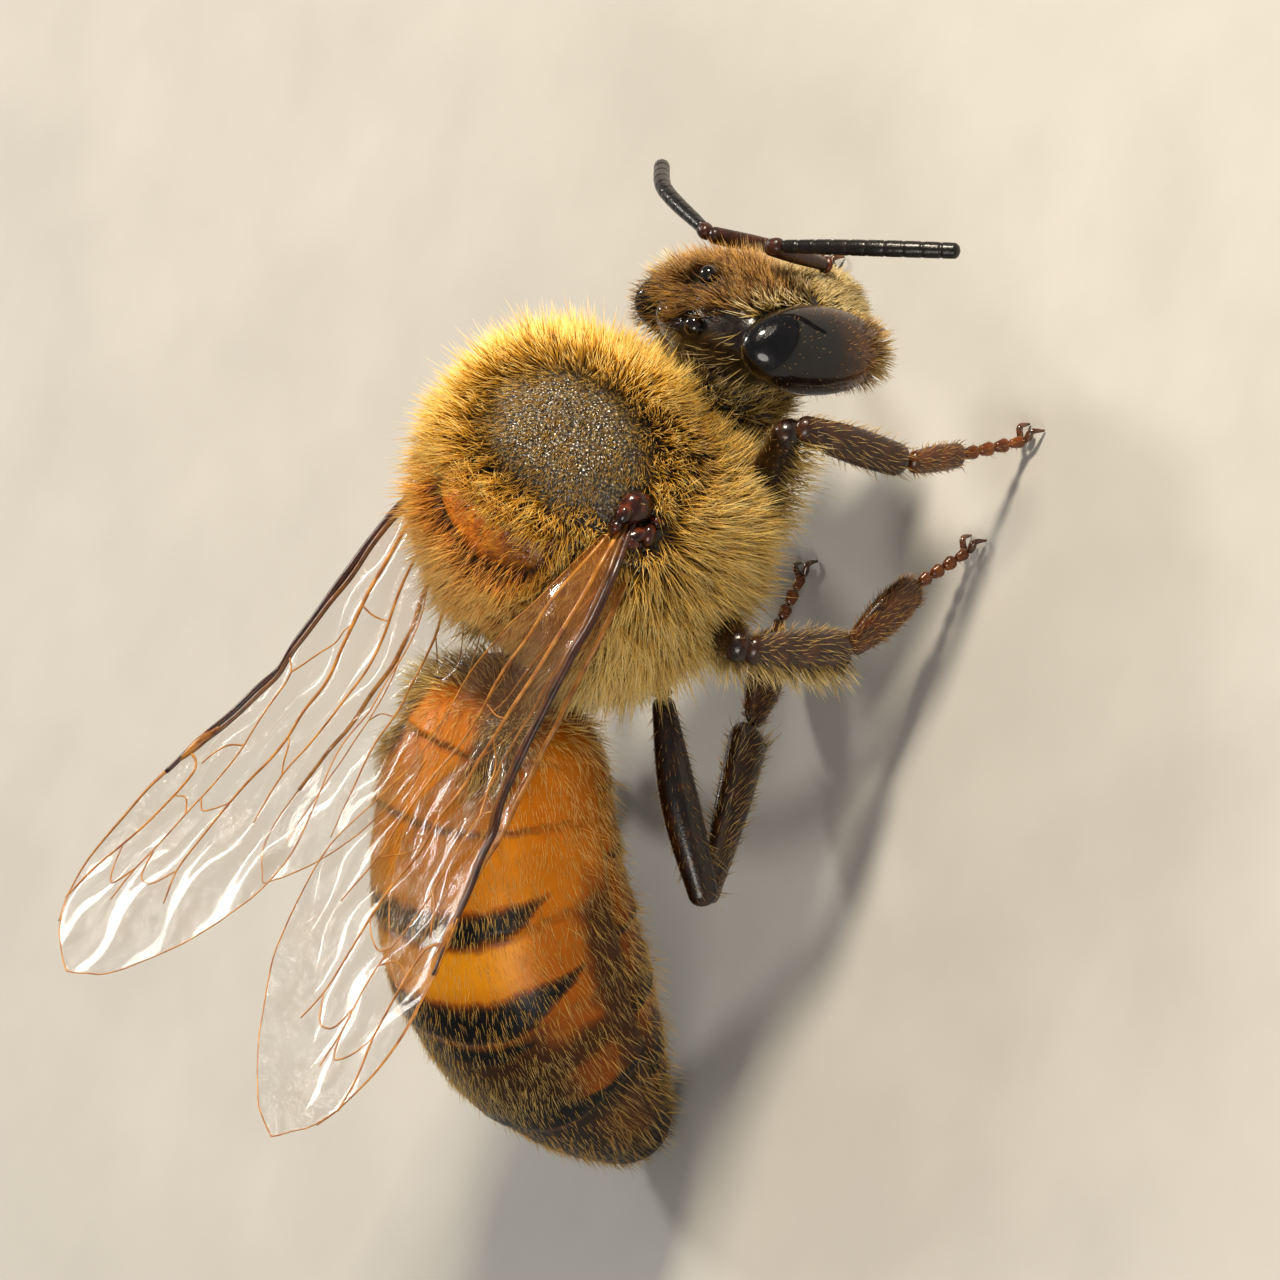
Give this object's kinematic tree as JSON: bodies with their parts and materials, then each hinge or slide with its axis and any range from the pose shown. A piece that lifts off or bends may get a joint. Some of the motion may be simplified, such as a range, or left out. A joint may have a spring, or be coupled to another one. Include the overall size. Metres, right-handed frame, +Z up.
{
  "type": "worker honey bee (Apis mellifera), life-size still model",
  "caption": "Life-size worker honey bee standing with folded wings, golden furry thorax and banded amber abdomen.",
  "frame": {"origin": "centre of the bounding box on the floor, under the thorax and the root of the abdomen", "axes": "+X towards the head, +Y to the bee's left, +Z up from the floor it stands on"},
  "size_m": [0.0142, 0.008, 0.0079],
  "materials": {
    "head_fur": "dense short brown and golden hair over black shell",
    "thorax_fur": "dense erect golden tawny hair",
    "abdomen_shell": "amber shell plates with black bands and short pale hair",
    "leg_shell": "dark brown to black glossy shell with pale hairs",
    "feeler_shell": "black, finely hairy, soft gloss",
    "eye_surface": "black faceted eye with a high gloss",
    "mouth_shell": "red-brown glossy shell",
    "wing_membrane": "clear, slightly smoky membrane with brown veins"
  },
  "bodies": {
    "root": {"head": "head_fur", "eye_left": "eye_surface", "eye_right": "eye_surface", "ocellus_left": "eye_surface", "ocellus_middle": "eye_surface", "ocellus_right": "eye_surface", "scape_left": "feeler_shell", "scape_right": "feeler_shell", "flagellum_left": "feeler_shell", "flagellum_right": "feeler_shell", "mandible_left": "mouth_shell", "mandible_right": "mouth_shell", "proboscis": "mouth_shell", "neck": "thorax_fur", "thorax": "thorax_fur", "abdomen": "abdomen_shell", "forewing_left": "wing_membrane", "forewing_right": "wing_membrane", "hindwing_left": "wing_membrane", "hindwing_right": "wing_membrane", "femur_fore_left": "leg_shell", "femur_fore_right": "leg_shell", "femur_mid_left": "leg_shell", "femur_mid_right": "leg_shell", "femur_hind_left": "leg_shell", "femur_hind_right": "leg_shell", "tibia_fore_left": "leg_shell", "tibia_fore_right": "leg_shell", "tibia_mid_left": "leg_shell", "tibia_mid_right": "leg_shell", "tibia_hind_left": "leg_shell", "tibia_hind_right": "leg_shell", "tarsus_fore_left": "leg_shell", "tarsus_fore_right": "leg_shell", "tarsus_mid_left": "leg_shell", "tarsus_mid_right": "leg_shell", "tarsus_hind_left": "leg_shell", "tarsus_hind_right": "leg_shell"}
  },
  "joints": []
}
